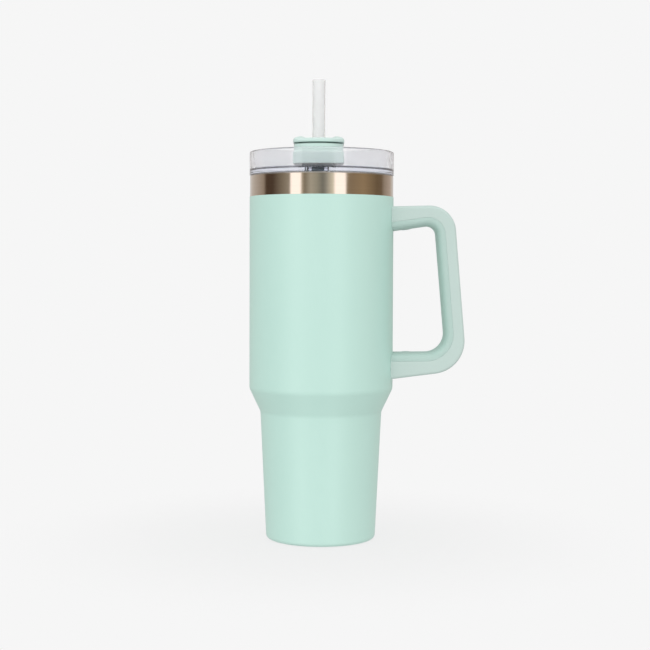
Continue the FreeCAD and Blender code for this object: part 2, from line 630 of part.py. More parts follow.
sk = new_sketch(b, "rib_outlines", "XY_Plane", S.cap_top)
add_polygon(sk, rectangle(S.rib_in, S.rib_half * -1, S.rib_out, S.rib_half))
add_polygon(sk, rectangle(S.rib_out * -1, S.rib_half * -1, S.rib_in * -1, S.rib_half))
doc.recompute()
pad(b, sk, "ribs", S.rib_top - S.cap_top)
fillet(b, "rib_corners", 2.2, lambda e: isinstance(e.Curve, Part.Line) and abs(e.Vertexes[0].Point.x - e.Vertexes[-1].Point.x) < 1e-4
       and abs(e.Vertexes[0].Point.y - e.Vertexes[-1].Point.y) < 1e-4 and e.BoundBox.ZMax > cap_top + 1)
rib_top = S.rib_top.value
fillet(b, "rib_top_edge", 1.2, lambda e: abs(e.BoundBox.ZMin - rib_top) < 1e-3)
sk = new_sketch(b, "spigot_outline", "XY_Plane", S.spigot_low)
add_circle(sk, S.spigot_r)
doc.recompute()
pad(b, sk, "spigot", S.cap_low - S.spigot_low)
sk = new_sketch(b, "grommet_bore_outline", "XY_Plane", S.spigot_low - 1)
add_circle(sk, S.grommet_r + 0.02)
doc.recompute()
pocket(b, sk, "grommet_bore", 12, reversed_=True)
on_pivot(b)

# straw grommet: soft ring that grips the straw in the cap
b = new_body("straw_grommet")
revolve(b, "ring", [
    (S.straw_r + 0.06, S.spigot_low + 0.05), (S.grommet_r, S.spigot_low + 0.05), (S.grommet_r, S.cap_top + 0.02),
    (S.grommet_r + 1.3, S.cap_top + 0.02), (S.grommet_r + 1.1, S.cap_top + 0.7), (S.straw_r + 0.4, S.cap_top + 0.7),
    (S.straw_r + 0.06, S.cap_top + 0.3)])
on_pivot(b)

# retainer: snap ring on the pivot under the lid's floor
b = new_body("cover_retainer")
revolve(b, "ring", rectangle(S.retainer_groove_r + 0.03, S.retainer_low + 0.03, S.retainer_r, S.retainer_high - 0.03))
fillet(b, "outer_round", 0.5, any_of(ring_edge(S.retainer_r, S.retainer_low + 0.03), ring_edge(S.retainer_r, S.retainer_high - 0.03)))
on_pivot(b)

# pivot seal: ring between the cover and the lid's floor
b = new_body("pivot_seal")
revolve(b, "ring", rectangle(9.6, S.seal_face, 11.8, S.bar_low + 0.65))
on_pivot(b)

# drink seal: soft pad under the bar that closes the drinking opening
b = new_body("drink_seal")
sk = new_sketch(b, "pad_outline", "XY_Plane", S.seal_face)
add_polygon(sk, rectangle(-9, (S.drink_reach * -1) - 6, 9, (S.drink_reach * -1) + 6))
doc.recompute()
pad(b, sk, "pad", S.bar_low + 0.85 - S.seal_face)
on_pivot(b)

# ---------------------------------------------------------------- straw
b = new_body("straw")
sk = new_sketch(b, "tube_outline", "XY_Plane", S.straw_low)
add_circle(sk, S.straw_r)
add_circle(sk, S.straw_in_r)
doc.recompute()
pad(b, sk, "tube", S.straw_top - S.straw_low)
# slanted lower end, so that the tube never seals against the cup's floor
sk = new_sketch(b, "end_cut_outline", "XZ_Plane")
add_polygon(sk, [(-6, S.straw_low - 1), (6, S.straw_low - 1), (6, S.straw_low + S.straw_cut + 0.6), (-4.2, S.straw_low)])
doc.recompute()
pocket(b, sk, "end_cut", 20, symmetric=True)
fillet(b, "mouth_round", 0.3, any_of(ring_edge(S.straw_r, S.straw_top), ring_edge(S.straw_in_r, S.straw_top)))
on_pivot(b)

doc.recompute()

# ---------------------------------------------------------------- output
NODES = ["outer_shell", "powder_coat", "inner_liner", "copper_wrap", "outer_base", "seal_bead", "getter",
         "base_cover", "handle_frame", "handle_grip", "upper_bracket", "lower_bracket", "handle_screws",
         "screw_plugs", "lid_body", "lid_gasket", "cover_body", "cover_cap", "straw_grommet",
         "cover_retainer", "pivot_seal", "drink_seal", "straw"]
for obj in doc.Objects:
    for word in obj.State:
        if word in ("Invalid", "Error"):
            raise RuntimeError("failed feature: " + obj.Name)
made = {}
for obj in doc.Objects:
    if obj.Label in NODES:
        shape = obj.Shape
        if shape.isNull() or not shape.isValid() or not shape.Solids:
            raise RuntimeError("bad shape: " + obj.Label)
        made[obj.Label] = shape
missing = [n for n in NODES if n not in made]
if missing:
    raise RuntimeError("missing: " + ", ".join(missing))
for name in NODES:
    shape = made[name]
    shape.exportStep("parts/" + name + ".step")
    box = shape.BoundBox
    print("%-16s %8.1f mm3  x %7.2f %7.2f  y %7.2f %7.2f  z %7.2f %7.2f" % (
        name, shape.Volume, box.XMin, box.XMax, box.YMin, box.YMax, box.ZMin, box.ZMax))
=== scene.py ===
import math

import bmesh
import bpy
import numpy as np
from mathutils import Matrix, Vector


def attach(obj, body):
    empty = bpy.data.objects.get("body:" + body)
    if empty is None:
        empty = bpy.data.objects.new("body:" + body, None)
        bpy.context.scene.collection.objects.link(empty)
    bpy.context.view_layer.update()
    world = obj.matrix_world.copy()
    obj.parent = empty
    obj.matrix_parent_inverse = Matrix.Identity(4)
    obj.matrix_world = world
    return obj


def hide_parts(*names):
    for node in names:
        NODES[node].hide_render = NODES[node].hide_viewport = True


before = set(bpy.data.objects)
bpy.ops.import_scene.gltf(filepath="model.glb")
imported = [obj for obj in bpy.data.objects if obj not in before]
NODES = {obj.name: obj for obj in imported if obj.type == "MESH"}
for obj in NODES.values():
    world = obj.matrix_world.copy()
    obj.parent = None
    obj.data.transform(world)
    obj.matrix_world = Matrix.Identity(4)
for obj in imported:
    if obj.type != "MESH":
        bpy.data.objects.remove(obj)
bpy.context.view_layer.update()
MM = 0.001
PX = -2.1                      # the cover's pivot stands this far off the cup's axis, in mm


# ------------------------------------------------------------------ mesh tools (all in mm)
def fillet_poly(points, closed=True, arc_step=7.0):
    """Rounds the corners of a profile. points: (x, y) or (x, y, radius)."""
    pts = [(p[0], p[1], p[2] if len(p) > 2 else 0.0) for p in points]
    n = len(pts)
    out = []
    for i, (x, y, r) in enumerate(pts):
        if r <= 0 or (not closed and i in (0, n - 1)):
            out.append((x, y))
            continue
        ax, ay = pts[i - 1][0] - x, pts[i - 1][1] - y
        bx, by = pts[(i + 1) % n][0] - x, pts[(i + 1) % n][1] - y
        la, lb = math.hypot(ax, ay), math.hypot(bx, by)
        ax, ay, bx, by = ax / la, ay / la, bx / lb, by / lb
        ang = math.acos(max(-1, min(1, ax * bx + ay * by)))
        if ang > math.pi - 1e-3:
            out.append((x, y))
            continue
        t = r / math.tan(ang / 2)
        lim = 0.49 * min(la, lb)
        if t > lim:
            t = lim
            r = t * math.tan(ang / 2)
        mx, my = ax + bx, ay + by
        lm = math.hypot(mx, my)
        cx, cy = x + mx / lm * r / math.sin(ang / 2), y + my / lm * r / math.sin(ang / 2)
        a0 = math.atan2(y + ay * t - cy, x + ax * t - cx)
        a1 = math.atan2(y + by * t - cy, x + bx * t - cx)
        d = (a1 - a0 + math.pi) % (2 * math.pi) - math.pi
        k = max(3, int(abs(math.degrees(d)) / arc_step) + 1)
        for j in range(k + 1):
            a = a0 + d * j / k
            out.append((cx + r * math.cos(a), cy + r * math.sin(a)))
    return out


def make_object(name, verts, faces, sharp=32.0, recalc=True):
    """A mesh object from verts in mm, smooth shaded, with creases sharper than an angle kept."""
    me = bpy.data.meshes.new(name)
    me.from_pydata([(v[0] * MM, v[1] * MM, v[2] * MM) for v in verts], [], faces)
    bm = bmesh.new()
    bm.from_mesh(me)
    bmesh.ops.remove_doubles(bm, verts=bm.verts, dist=1e-7)
    if recalc:
        bmesh.ops.recalc_face_normals(bm, faces=bm.faces)
    bm.to_mesh(me)
    bm.free()
    me.shade_smooth()
    me.set_sharp_from_angle(angle=math.radians(sharp))
    ob = bpy.data.objects.new(name, me)
    bpy.context.scene.collection.objects.link(ob)
    return ob


def lathe_data(profile, segs=192, centre=(0.0, 0.0), closed=True, base=0):
    verts, faces, rings = [], [], []
    for r, z in profile:
        if abs(r) < 1e-6:
            rings.append([base + len(verts)])
            verts.append((centre[0], centre[1], z))
        else:
            start = base + len(verts)
            rings.append(list(range(start, start + segs)))
            for k in range(segs):
                a = 2 * math.pi * k / segs
                verts.append((centre[0] + r * math.cos(a), centre[1] + r * math.sin(a), z))
    pairs = list(zip(rings, rings[1:]))
    if closed:
        pairs.append((rings[-1], rings[0]))
    for a, b in pairs:
        if len(a) == 1 and len(b) == 1:
            continue
        for k in range(segs):
            k2 = (k + 1) % segs
            if len(a) == 1:
                faces.append((a[0], b[k], b[k2]))
            elif len(b) == 1:
                faces.append((a[k], b[0], a[k2]))
            else:
                faces.append((a[k], b[k], b[k2], a[k2]))
    return verts, faces


def lathe(name, points, segs=192, centre=(0.0, 0.0), closed=True, sharp=32.0, arc_step=7.0):
    profile = fillet_poly(points, closed, arc_step)
    v, f = lathe_data(profile, segs, centre, closed)
    return make_object(name, v, f, sharp)


def densify(profile, step):
    """Adds points on long straight runs, so bump and shading stay even."""
    out = [profile[0]]
    for p, q in zip(profile, profile[1:]):
        d = math.hypot(q[0] - p[0], q[1] - p[1])
        k = max(1, int(d / step))
        for j in range(1, k + 1):
            out.append((p[0] + (q[0] - p[0]) * j / k, p[1] + (q[1] - p[1]) * j / k))
    return out


# ------------------------------------------------------------------ materials
def srgb(hexa):
    out = []
    for i in (0, 2, 4):
        c = int(hexa[i:i + 2], 16) / 255
        out.append(c / 12.92 if c <= 0.04045 else ((c + 0.055) / 1.055) ** 2.4)
    return tuple(out) + (1.0,)


class Mat:
    """A node material round one Principled shader."""

    def __init__(self, name):
        self.mat = bpy.data.materials.new(name)
        self.mat.use_nodes = True
        self.nt = self.mat.node_tree
        self.nt.nodes.clear()
        self.out = self.node("ShaderNodeOutputMaterial")
        self.bsdf = self.node("ShaderNodeBsdfPrincipled")
        self.link(self.bsdf.outputs[0], self.out.inputs[0])
        self.coord = self.node("ShaderNodeTexCoord")

    def node(self, kind, **values):
        n = self.nt.nodes.new(kind)
        for k, v in values.items():
            setattr(n, k, v)
        return n

    def link(self, a, b):
        self.nt.links.new(a, b)

    def set(self, **values):
        for k, v in values.items():
            self.bsdf.inputs[k.replace("_", " ")].default_value = v
        return self

    def noise(self, scale, detail=3.0, rough=0.55, stretch=None, distortion=0.0):
        n = self.node("ShaderNodeTexNoise")
        n.inputs["Scale"].default_value = scale
        n.inputs["Detail"].default_value = detail
        n.inputs["Roughness"].default_value = rough
        n.inputs["Distortion"].default_value = distortion
        if stretch:
            m = self.node("ShaderNodeMapping")
            m.inputs["Scale"].default_value = stretch
            self.link(self.coord.outputs["Object"], m.inputs["Vector"])
            self.link(m.outputs["Vector"], n.inputs["Vector"])
        else:
            self.link(self.coord.outputs["Object"], n.inputs["Vector"])
        return n

    def remap(self, source, low, high, in_low=0.3, in_high=0.7):
        m = self.node("ShaderNodeMapRange")
        m.inputs["From Min"].default_value = in_low
        m.inputs["From Max"].default_value = in_high
        m.inputs["To Min"].default_value = low
        m.inputs["To Max"].default_value = high
        self.link(source, m.inputs["Value"])
        return m.outputs["Result"]

    def blend(self, factor, a, b):
        m = self.node("ShaderNodeMix")
        m.data_type = "RGBA"
        for value, socket in ((factor, m.inputs["Factor"]), (a, m.inputs["A"]), (b, m.inputs["B"])):
            if hasattr(value, "is_output"):
                self.link(value, socket)
        if not hasattr(factor, "is_output"):
            m.inputs["Factor"].default_value = factor
        m.inputs[6].default_value = a if not hasattr(a, "is_output") else (0, 0, 0, 1)
        m.inputs[7].default_value = b if not hasattr(b, "is_output") else (0, 0, 0, 1)
        if hasattr(a, "is_output"):
            self.link(a, m.inputs[6])
        if hasattr(b, "is_output"):
            self.link(b, m.inputs[7])
        if hasattr(factor, "is_output"):
            self.link(factor, m.inputs[0])
        return m.outputs[2]

    def bump(self, sources):
        """sources: [(height socket, strength, distance in m)], stacked."""
        last = None
        for height, strength, distance in sources:
            b = self.node("ShaderNodeBump")
            b.inputs["Strength"].default_value = strength
            b.inputs["Distance"].default_value = distance
            self.link(height, b.inputs["Height"])
            if last is not None:
                self.link(last, b.inputs["Normal"])
            last = b.outputs["Normal"]
        self.link(last, self.bsdf.inputs["Normal"])
        return self

    def worn_edges(self, low, high):
        """0 on flats, 1 on convex edges, from the mesh's pointiness."""
        g = self.node("ShaderNodeNewGeometry")
        return self.remap(g.outputs["Pointiness"], 0.0, 1.0, low, high)


def powder_material():
    m = Mat("powder_coat_mint")
    big = m.noise(9.0, 2.0)
    mid = m.noise(140.0, 3.0)
    fine = m.noise(1700.0, 2.0, 0.6)
    peel = m.noise(520.0, 1.5, 0.5)
    tone = m.blend(m.remap(big.outputs["Fac"], 0.0, 1.0), COAT_A, COAT_B)
    speck = m.blend(m.remap(fine.outputs["Fac"], 0.0, 0.22, 0.35, 0.75), tone, COAT_C)
    m.link(speck, m.bsdf.inputs["Base Color"])
    m.link(m.remap(mid.outputs["Fac"], 0.36, 0.48), m.bsdf.inputs["Roughness"])
    m.set(Specular_IOR_Level=1.0)
    m.bump([(peel.outputs["Fac"], 0.35, 0.00005), (fine.outputs["Fac"], 0.55, 0.00003)])
    return m.mat


def steel_material(name, colour_a, colour_b, rough=(0.16, 0.26), brush=(7.0, 7.0, 2600.0), depth=0.000012, aniso=0.6):
    m = Mat(name)
    lines = m.noise(1.0, 4.0, 0.65, stretch=brush)
    cloud = m.noise(38.0, 3.0)
    m.link(m.blend(m.remap(lines.outputs["Fac"], 0.0, 1.0), colour_a, colour_b), m.bsdf.inputs["Base Color"])
    mix = m.node("ShaderNodeMath", operation="ADD")
    m.link(m.remap(lines.outputs["Fac"], rough[0], rough[1]), mix.inputs[0])
    m.link(m.remap(cloud.outputs["Fac"], -0.02, 0.03), mix.inputs[1])
    m.link(mix.outputs[0], m.bsdf.inputs["Roughness"])
    m.set(Metallic=1.0, Anisotropic=aniso)
    if aniso:
        t = m.node("ShaderNodeTangent", direction_type="RADIAL", axis="Z")
        m.link(t.outputs["Tangent"], m.bsdf.inputs["Tangent"])
    m.bump([(lines.outputs["Fac"], 0.3, depth)])
    return m.mat


def moulded_material(name, colour_a, colour_b, rough=(0.38, 0.5), grain=900.0, depth=0.00003, spec=0.45, coat=0.0,
                     subsurface=0.0, wear=0.0):
    m = Mat(name)
    big = m.noise(22.0, 2.0)
    mid = m.noise(260.0, 3.0)
    fine = m.noise(grain, 2.0)
    tone = m.blend(m.remap(big.outputs["Fac"], 0.0, 1.0), colour_a, colour_b)
    if wear:
        pale = tuple(min(1.0, c * 1.12 + 0.03) for c in colour_a[:3]) + (1.0,)
        edge = m.node("ShaderNodeMath", operation="MULTIPLY")
        m.link(m.worn_edges(0.52, 0.60), edge.inputs[0])
        edge.inputs[1].default_value = wear
        tone = m.blend(edge.outputs[0], tone, pale)
    m.link(tone, m.bsdf.inputs["Base Color"])
    m.link(m.remap(mid.outputs["Fac"], rough[0], rough[1]), m.bsdf.inputs["Roughness"])
    m.set(Specular_IOR_Level=spec)
    if coat:
        m.set(Coat_Weight=coat, Coat_Roughness=0.2)
    if subsurface:
        m.set(Subsurface_Weight=subsurface, Subsurface_Scale=0.002)
        m.bsdf.inputs["Subsurface Radius"].default_value = (1.0, 1.1, 1.05)
    m.bump([(fine.outputs["Fac"], 0.35, depth), (big.outputs["Fac"], 0.1, depth * 3)])
    return m.mat


def clear_material(name, colour, rough=(0.015, 0.05), ior=1.5, transmission=1.0, scale=60.0, depth=0.00002, foot=None):
    """foot: (height in m, colour, transmission) below that height on the object, where the moulding is thick."""
    m = Mat(name)
    haze = m.noise(scale, 3.0)
    flow = m.noise(14.0, 1.0, 0.4)
    tint = m.blend(m.remap(haze.outputs["Fac"], 0.0, 1.0), colour, tuple(c * 0.996 for c in colour[:3]) + (1.0,))
    m.set(Transmission_Weight=transmission, IOR=ior)
    if foot:
        sep = m.node("ShaderNodeSeparateXYZ")
        m.link(m.coord.outputs["Object"], sep.inputs[0])
        tint = m.blend(m.remap(sep.outputs["Z"], 0.0, 1.0, foot[0] - 0.0004, foot[0] + 0.0004), foot[1], tint)
        m.link(m.remap(sep.outputs["Z"], foot[2], transmission, foot[0] - 0.0004, foot[0] + 0.0004), m.bsdf.inputs["Transmission Weight"])
    m.link(tint, m.bsdf.inputs["Base Color"])
    m.link(m.remap(haze.outputs["Fac"], rough[0], rough[1]), m.bsdf.inputs["Roughness"])
    m.bump([(flow.outputs["Fac"], 0.12, depth)])
    return m.mat


COAT_A, COAT_B, COAT_C = (0.482, 0.718, 0.642, 1), (0.492, 0.727, 0.650, 1), (0.552, 0.760, 0.702, 1)
HAND_A, HAND_B = (0.485, 0.600, 0.562, 1), (0.499, 0.611, 0.574, 1)
GRIP_A, GRIP_B = (0.428, 0.569, 0.523, 1), (0.442, 0.581, 0.535, 1)
COVER_A, COVER_B = (0.558, 0.705, 0.660, 1), (0.570, 0.716, 0.671, 1)

MAT_COAT = powder_material()
MAT_BAND = steel_material("steel_band_brushed", (0.80, 0.735, 0.645, 1), (0.86, 0.79, 0.70, 1), rough=(0.055, 0.10), depth=0.000004, aniso=0.35)
MAT_LINER = steel_material("steel_liner_brushed", (0.66, 0.64, 0.61, 1), (0.74, 0.72, 0.69, 1), rough=(0.24, 0.36))
MAT_BASE = steel_material("steel_base_spun", (0.70, 0.66, 0.60, 1), (0.78, 0.74, 0.68, 1), rough=(0.26, 0.31), brush=(900, 900, 900), depth=0.000003)
MAT_PRESSED = steel_material("steel_pressed", (0.58, 0.57, 0.55, 1), (0.66, 0.65, 0.63, 1), rough=(0.3, 0.44), brush=(420, 60, 420), aniso=0.0)
MAT_SCREW = steel_material("steel_screw", (0.60, 0.60, 0.61, 1), (0.70, 0.70, 0.71, 1), rough=(0.22, 0.34), brush=(900, 900, 900), aniso=0.0)
MAT_FOIL = steel_material("copper_foil", (0.86, 0.48, 0.32, 1), (0.93, 0.57, 0.40, 1), rough=(0.18, 0.34), brush=(160, 160, 160), depth=0.00006, aniso=0.0)
MAT_HANDLE = moulded_material("handle_moulded_mint", HAND_A, HAND_B, rough=(0.40, 0.52), wear=0.35)
MAT_GRIP = moulded_material("grip_soft_mint", GRIP_A, GRIP_B, rough=(0.50, 0.64), grain=1500.0, spec=0.35, subsurface=0.08)
MAT_COVER = moulded_material("cover_moulded_mint", COVER_A, COVER_B, rough=(0.30, 0.345), grain=2200.0, depth=0.000003, spec=0.5, wear=0.3)
MAT_LID = clear_material("lid_clear", (0.964, 0.964, 0.985, 1), transmission=0.89, foot=(0.2572, (0.82, 0.84, 0.92, 1), 0.98))
MAT_RING = clear_material("retainer_clear", (0.93, 0.94, 0.95, 1), rough=(0.06, 0.14))
MAT_SILICONE = moulded_material("silicone_white", (0.80, 0.84, 0.83, 1), (0.84, 0.87, 0.86, 1), rough=(0.42, 0.55), subsurface=0.3, spec=0.4)
# painted shade: a near-black teal for the seals under the bar, standing in for the shadow seen there through the lid's
# foot
MAT_PAD_PAINTED_SHADE = moulded_material("silicone_teal_painted_shade", (0.030, 0.052, 0.055, 1), (0.036, 0.060, 0.063, 1), rough=(0.42, 0.55), spec=0.4)
MAT_BEAD = clear_material("solder_glass", (0.20, 0.24, 0.22, 1), rough=(0.05, 0.15))


def straw_material():
    m = Mat("straw_frosted")
    haze = m.noise(300.0, 2.0, stretch=(1.0, 1.0, 0.1))
    m.link(m.blend(m.remap(haze.outputs["Fac"], 0.0, 1.0), (0.925, 0.927, 0.926, 1), (0.940, 0.942, 0.941, 1)), m.bsdf.inputs["Base Color"])
    m.link(m.remap(haze.outputs["Fac"], 0.10, 0.17), m.bsdf.inputs["Roughness"])
    m.set(Transmission_Weight=0.55, IOR=1.30, Specular_IOR_Level=0.3, Alpha=0.62)
    m.bump([(haze.outputs["Fac"], 0.05, 0.000004)])
    return m.mat


MAT_STRAW = straw_material()


def dress(ob, material, body, slot, *nodes):
    ob.data.materials.clear()
    ob.data.materials.append(material)
    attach(ob, body)
    if nodes:
        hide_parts(*nodes)
    return ob


# ------------------------------------------------------------------ cup
CT, ST, GAP, LT = 0.55, 0.7, 2.6, 0.6
CONE0, CONE1, Z0, Z1, R, ZB = 38.06, 42.27, 89.3, 105.5, 50.0, 0.35


def smooth_profile(points, step=4.0, arc_step=4.0):
    p = fillet_poly(points, True, arc_step)
    return densify(p + [p[0]], step)[:-1]


def cup_wall(name, points, segs=256, step=6.0):
    v, f = lathe_data(smooth_profile(points, step), segs)
    return make_object(name, v, f)


coat = cup_wall("coating", [
    (32.4, ZB + 0.1, 0.1), (CONE0, ZB, 5.7), (CONE1, Z0, 8.0), (R, Z1, 8.0), (R, 238.45, 0.22), (R - CT + 0.01, 238.45, 0.0),
    (R - CT + 0.01, Z1, 8.0), (CONE1 - CT + 0.01, Z0, 8.0), (CONE0 - CT, ZB + CT, 5.15), (32.4, ZB + CT, 0.0)])
dress(coat, MAT_COAT, "mug", "coating", "powder_coat")

low = ZB + CT
shell = cup_wall("shell_wall", [
    (31.6, low, 0.1), (CONE0 - CT, low, 5.15), (CONE1 - CT, Z0, 8.0), (R - CT, Z1, 8.0), (R - CT, 238.28, 0.0), (R - 0.28, 238.46, 0.0), (R - 0.28, 252.46, 0.12),
    (R - CT - ST, 252.46, 0), (R - CT - ST, Z1, 8.0), (CONE1 - CT - ST, Z0, 8.0), (CONE0 - CT - ST, low + ST, 4.45),
    (31.6, low + ST, 0)])
dress(shell, MAT_BAND, "mug", "steel", "outer_shell")

W = CT + ST + GAP + LT
liner_profile = fillet_poly([
    (0, 7.6), (CONE0 - W, 7.6, 6.0), (CONE1 - W, Z0, 8.0), (R - W, Z1, 8.0), (R - W, 253.2, 0.3), (R - CT, 253.2, 0.3),
    (R - CT, 252.5, 0.15), (R - W + LT, 252.5, 0.1), (R - W + LT, Z1, 8.0), (CONE1 - W + LT, Z0, 8.0),
    (CONE0 - W + LT, 7.0, 6.6), (0, 7.0)], closed=False, arc_step=4.0)
v, f = lathe_data(densify(liner_profile, 6.0), 256, closed=False)
liner = make_object("liner_cup", v, f)
dress(liner, MAT_LINER, "mug", "steel", "inner_liner")

# base cover: flat disc with a turned rim, a stepped ring and fine turning marks
base = lathe("base_disc", [
    (0, 0.30), (16.0, 0.30, 0.2), (16.6, 0.02, 0.2), (24.0, 0.02, 0.15), (24.5, 0.34, 0.15), (25.3, 0.34, 0.15), (25.8, 0.0, 0.15),
    (31.0, 0.0, 0.35), (31.0, 0.85, 0.12), (0, 0.85)], segs=192, closed=False)
dress(base, MAT_BASE, "mug", "steel", "base_cover")

# ------------------------------------------------------------------ handle
OUT = [(48.0, 232.2, 0), (91.5, 233.3, 18.5), (101.2, 119.15, 23.0), (48.0, 112.2, 0)]
MID = [(48.0, 220.76, 0), (84.12, 226.05, 12.0), (92.95, 125.48, 18.7), (48.0, 124.94, 0)]
INN = [(48.0, 214.70, 0), (78.70, 219.20, 6.3), (86.40, 131.40, 12.7), (48.0, 130.94, 0)]
HALF = 13.5


def loop_path(poly, counts=(26, 22, 44, 24, 26)):
    """Matched stations along one outline: arm, corner, grip, corner, arm."""
    (ax, ay, _), (bx, by, br), (cx, cy, cr), (dx, dy, _) = poly

    def corner(p, q, r, rad):
        ux, uy = p[0] - q[0], p[1] - q[1]
        vx, vy = r[0] - q[0], r[1] - q[1]
        lu, lv = math.hypot(ux, uy), math.hypot(vx, vy)
        ux, uy, vx, vy = ux / lu, uy / lu, vx / lv, vy / lv
        ang = math.acos(ux * vx + uy * vy)
        t = rad / math.tan(ang / 2)
        mx, my = ux + vx, uy + vy
        lm = math.hypot(mx, my)
        c = (q[0] + mx / lm * rad / math.sin(ang / 2), q[1] + my / lm * rad / math.sin(ang / 2))
        return (q[0] + ux * t, q[1] + uy * t), (q[0] + vx * t, q[1] + vy * t), c

    s1, e1, c1 = corner((ax, ay), (bx, by), (cx, cy), br)
    s2, e2, c2 = corner((bx, by), (cx, cy), (dx, dy), cr)
    pts = []

    def run(p, q, k, last=False):
        for j in range(k + (1 if last else 0)):
            t = j / k
            pts.append((p[0] + (q[0] - p[0]) * t, p[1] + (q[1] - p[1]) * t))

    def arc(s, e, c, k):
        r = math.hypot(s[0] - c[0], s[1] - c[1])
        a0, a1 = math.atan2(s[1] - c[1], s[0] - c[0]), math.atan2(e[1] - c[1], e[0] - c[0])
        d = (a1 - a0 + math.pi) % (2 * math.pi) - math.pi
        for j in range(k):
            a = a0 + d * j / k
            pts.append((c[0] + r * math.cos(a), c[1] + r * math.sin(a)))

    run((ax, ay), s1, counts[0])
    arc(s1, e1, c1, counts[1])
    run(e1, s2, counts[2])
    arc(s2, e2, c2, counts[3])
    run(e2, (dx, dy), counts[4], last=True)
    return pts


def loop_mesh(name, inner_path, outer_path, section, radius=50.05):
    """Sweeps a section between two outlines. section(length) -> [(u from the inner path, y)], closed."""
    verts, faces = [], []
    count = None
    for k, (p, q) in enumerate(zip(inner_path, outer_path)):
        length = math.hypot(q[0] - p[0], q[1] - p[1])
        dx, dz = (q[0] - p[0]) / length, (q[1] - p[1]) / length
        ring = section(length)
        count = len(ring)
        for u, y in ring:
            verts.append([p[0] + dx * u, y, p[1] + dz * u])
    rows = len(inner_path)
    # end rings meet the cup's wall: slide the arm's points along X
    for row, nxt in ((0, 1), (rows - 1, rows - 2)):
        for j in range(count):
            v = verts[row * count + j]
            v[0] = math.sqrt(radius ** 2 - v[1] ** 2) if abs(v[1]) < radius else v[0]
    # points of the next stations that fall inside the cup's wall are gathered just outside it, in order
    for seq in (range(1, 12), range(rows - 2, rows - 13, -1)):
        for row in seq:
            prev = row - 1 if seq.step > 0 else row + 1
            for j in range(count):
                v = verts[row * count + j]
                v[0] = max(v[0], verts[prev * count + j][0] + 0.02)
    for row in range(rows - 1):
        for j in range(count):
            a, b = row * count + j, row * count + (j + 1) % count
            faces.append((a, b, b + count, a + count))
    faces.append(tuple(range(count)))
    faces.append(tuple((rows - 1) * count + j for j in range(count)))
    return make_object(name, verts, faces, sharp=30)


def frame_section(length):
    pts = []
    w, r, r0, crown = HALF, 2.0, 0.18, 0.35
    # seam edge on one side, up the side, round the outer corner, across the crowned face, and back
    side = []
    for j in range(5):
        a = math.radians(90 * j / 4)
        side.append((0.01 + r0 - r0 * math.cos(a), w - r0 + r0 * math.sin(a)))
    for j in range(1, 6):
        side.append((0.5 + (length - crown - r - 0.5) * j / 5, w))
    for j in range(1, 9):
        a = math.radians(90 * j / 8)
        side.append((length - crown - r + r * math.sin(a), w - r + r * math.cos(a)))
    for j in range(1, 7):
        y = (w - r) * (1 - j / 6)
        side.append((length - crown * (y / (w - r)) ** 2, y))
    mirror = [(u, -y) for u, y in side[-2::-1]]
    pts = side + mirror
    # close along the hidden inner face
    return pts


def grip_section(length):
    w, crown = HALF, 0.5
    ru, rv, r0 = 4.4, 5.2, 0.18
    side = []
    # from the middle of the inner face (u small) round to the side and up to the seam
    for j in range(0, 6):
        y = (w - rv) * j / 6
        side.append((crown * (y / (w - rv)) ** 2, y))
    for j in range(0, 13):
        a = math.radians(90 * j / 12)
        u = crown + (ru - crown) * (1 - math.cos(a)) ** 1.0
        y = w - rv + rv * math.sin(a)
        side.append((u, y))
    top = length - 0.01
    side.append((max(ru + 0.1, top - r0 - 0.05), w))
    for j in range(1, 5):
        a = math.radians(90 * j / 4)
        side.append((top - r0 + r0 * math.sin(a), w - r0 + r0 * math.cos(a)))
    mirror = [(u, -y) for u, y in side[:0:-1]]
    return side + mirror


po, pm, pi = loop_path(OUT), loop_path(MID), loop_path(INN)
handle_frame = loop_mesh("handle_outer", pm, po, frame_section)
dress(handle_frame, MAT_HANDLE, "mug", "handle_plastic", "handle_frame")
handle_grip = loop_mesh("handle_insert", pi, pm, grip_section)
dress(handle_grip, MAT_GRIP, "mug", "grip_rubber", "handle_grip")

# screw plugs: shallow domes set in the insert, following the arm's slope
plug_v, plug_f = [], []
for px, pz, tilt, sign in ((59.0, 216.26, math.atan2(4.5, 30.7), -1.0), (59.0, 131.08, 0.012, 1.0)):
    prof = [(0, 0.32), (1.6, 0.28), (2.7, 0.16), (3.25, 0.02), (3.5, -0.25), (3.5, -1.4), (0, -1.4)]
    v, f = lathe_data(prof, 48, closed=False, base=len(plug_v))
    ct_, st_ = math.cos(tilt), math.sin(tilt)
    for x, y, z in v:
        z *= sign
        plug_v.append((px + x * ct_ - z * st_, y, pz + x * st_ + z * ct_))
    plug_f += f
plugs = make_object("plug_caps", plug_v, plug_f)
dress(plugs, MAT_GRIP, "mug", "grip_rubber", "screw_plugs")

# ------------------------------------------------------------------ lid
def cut_mesh(target, cutters):
    for c in cutters:
        m = target.modifiers.new("cut", "BOOLEAN")
        m.object = c
        m.operation = "DIFFERENCE"
        m.solver = "EXACT"
    dg = bpy.context.evaluated_depsgraph_get()
    me = bpy.data.meshes.new_from_object(target.evaluated_get(dg))
    target.modifiers.clear()
    old = target.data
    target.data = me
    bpy.data.meshes.remove(old)
    for c in cutters:
        bpy.data.objects.remove(c)
    me.shade_smooth()
    me.set_sharp_from_angle(angle=math.radians(32))
    return target


